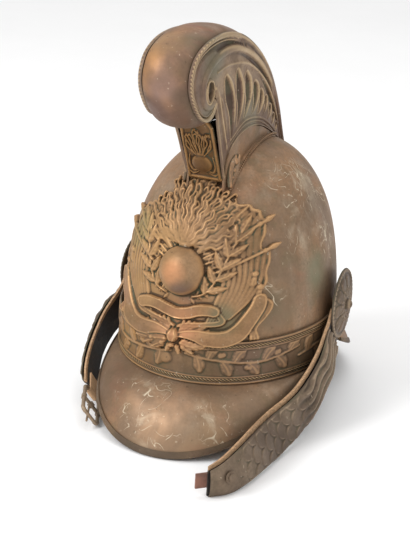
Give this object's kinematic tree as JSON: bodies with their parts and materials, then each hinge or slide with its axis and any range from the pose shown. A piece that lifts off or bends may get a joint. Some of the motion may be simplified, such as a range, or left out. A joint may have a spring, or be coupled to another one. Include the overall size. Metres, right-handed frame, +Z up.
{
  "type": "helmet",
  "caption": "Brass fire brigade helmet with a tall fluted comb, an embossed front plate, a banded rim, a visor, a neck guard and two swinging scaled chin straps.",
  "frame": {"origin": "centre of the head opening, in the plane of the rim at the foot of the band", "axes": "+X to the wearer's left, -Y to the front where the visor is, +Z up through the crown"},
  "size_m": [0.228, 0.3576, 0.3633],
  "materials": {
    "dome_brass": "dull, browned by age",
    "edge_brass": "dark worn edge",
    "band_brass": "embossed, dull",
    "plate_brass": "embossed, warm brown",
    "comb_brass": "embossed, dull",
    "crest_brass": "smooth, dull",
    "plain_brass": "plain, dull",
    "rosette_brass": "embossed, dull",
    "strap_leather": "black, with tan cut edges",
    "tab_leather": "tan, worn",
    "scale_brass": "embossed scales, dull",
    "buckle_brass": "bare wire, dull",
    "liner_leather": "brown, matt",
    "lace_cord": "twisted cord"
  },
  "bodies": {
    "helmet": {"skull": "dome_brass", "visor": "dome_brass", "visor_binding": "edge_brass", "neck_guard": "dome_brass", "neck_guard_binding": "edge_brass", "headband": "band_brass", "front_plate": "plate_brass", "comb_left_side": "comb_brass", "comb_right_side": "comb_brass", "comb_crest": "crest_brass", "comb_mask": "plate_brass", "comb_left_foot": "comb_brass", "comb_right_foot": "comb_brass", "comb_anchors": "plain_brass", "comb_studs": "plain_brass", "comb_nuts": "plain_brass", "plate_studs": "plain_brass", "plate_nuts": "plain_brass", "left_rosette": "rosette_brass", "right_rosette": "rosette_brass", "left_rosette_stud": "plain_brass", "right_rosette_stud": "plain_brass", "rosette_nuts": "plain_brass", "sweatband": "liner_leather", "liner_tongues": "liner_leather", "liner_lace": "lace_cord"},
    "left_strap": {"left_strap_hanger": "plain_brass", "left_strap_leather": "strap_leather", "left_strap_scales": "scale_brass", "left_strap_rivets": "plain_brass", "left_strap_tab": "tab_leather"},
    "right_strap": {"right_strap_hanger": "plain_brass", "right_strap_leather": "strap_leather", "right_strap_scales": "scale_brass", "right_strap_rivets": "plain_brass", "right_strap_loop": "tab_leather"},
    "buckle": {"buckle_frame": "buckle_brass"},
    "prong": {"buckle_prong": "buckle_brass"}
  },
  "joints": [
    {"name": "left_strap_swing", "type": "hinge", "parent": "helmet", "child": "left_strap", "pos_m": [0.09345, 0.018, 0.044], "axis": [0.9962, 0.0872, 0], "range_deg": [-60, 90]},
    {"name": "right_strap_swing", "type": "hinge", "parent": "helmet", "child": "right_strap", "pos_m": [-0.09345, 0.018, 0.044], "axis": [0.9962, -0.0872, 0], "range_deg": [-60, 90]},
    {"name": "buckle_swing", "type": "hinge", "parent": "right_strap", "child": "buckle", "pos_m": [-0.09039, -0.0977, -0.03827], "axis": [0.5008, 0.2796, -0.8192], "range_deg": [-3, 60]},
    {"name": "prong_swing", "type": "hinge", "parent": "buckle", "child": "prong", "pos_m": [-0.08154, -0.11671, -0.03936], "axis": [0.5008, 0.2796, -0.8192], "range_deg": [0, 90]}
  ]
}
